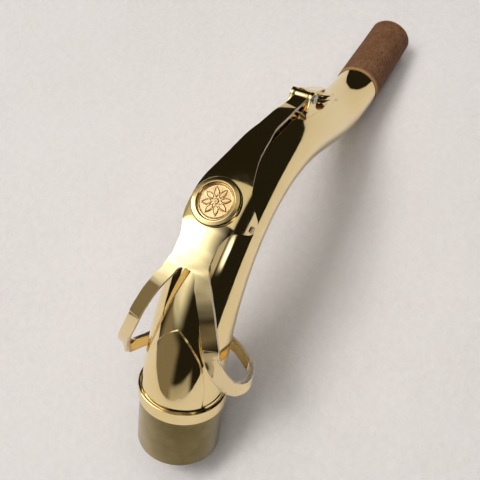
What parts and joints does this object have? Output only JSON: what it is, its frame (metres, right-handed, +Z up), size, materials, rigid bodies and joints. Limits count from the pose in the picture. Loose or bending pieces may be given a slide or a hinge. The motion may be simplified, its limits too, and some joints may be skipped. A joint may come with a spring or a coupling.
{
  "type": "tenor saxophone neck",
  "caption": "Bent tapering brass neck of a tenor saxophone, with a plain tenon, a cork-covered mouthpiece end and a sprung octave key whose ring circles the tube.",
  "frame": {"origin": "centre of the overall box in X and Y, on the floor that the tenon rim and the cork tip both touch", "axes": "+X along the length from the tenon towards the mouthpiece end; +Y across the tube, towards the side away from the ring's wide lobe; +Z up, with the octave key on top"},
  "size_m": [0.1922, 0.0446, 0.0771],
  "materials": {
    "lacquered_brass": "mirror polished under clear gold lacquer",
    "bare_brass": "satin, unlacquered, slightly toned",
    "rose_brass": "satin rose gold with raised pattern",
    "cork": "matte fine-grained cork, darkened by grease",
    "leather": "smooth treated pad leather",
    "felt": "pressed felt",
    "card": "plain card",
    "steel": "turned steel",
    "blued_steel": "blued spring steel"
  },
  "bodies": {
    "neck": {"neck_tube": "lacquered_brass", "tenon_sleeve": "bare_brass", "tenon_collar": "lacquered_brass", "base_shield": "lacquered_brass", "mouthpiece_cork": "cork", "octave_pip": "lacquered_brass", "hinge_saddle": "lacquered_brass", "hinge_rod": "steel"},
    "key": {"key_barrel": "lacquered_brass", "octave_ring": "lacquered_brass", "pad_leather": "leather", "pad_felt": "felt", "pad_board": "card", "pad_cup": "lacquered_brass", "pad_arm": "lacquered_brass", "key_plate": "lacquered_brass", "medallion_bezel": "lacquered_brass", "medallion_disc": "rose_brass", "flat_spring": "blued_steel", "spring_screw": "steel"}
  },
  "joints": [
    {"name": "octave_key_hinge", "type": "hinge", "parent": "neck", "child": "key", "pos_m": [0.02615, 0.0003, 0.05756], "axis": [0, -1, 0], "range_deg": [0, 3], "stiffness_Nm_per_rad": 0.2, "springref_deg": -8.59, "deforming": ["flat_spring"]}
  ]
}
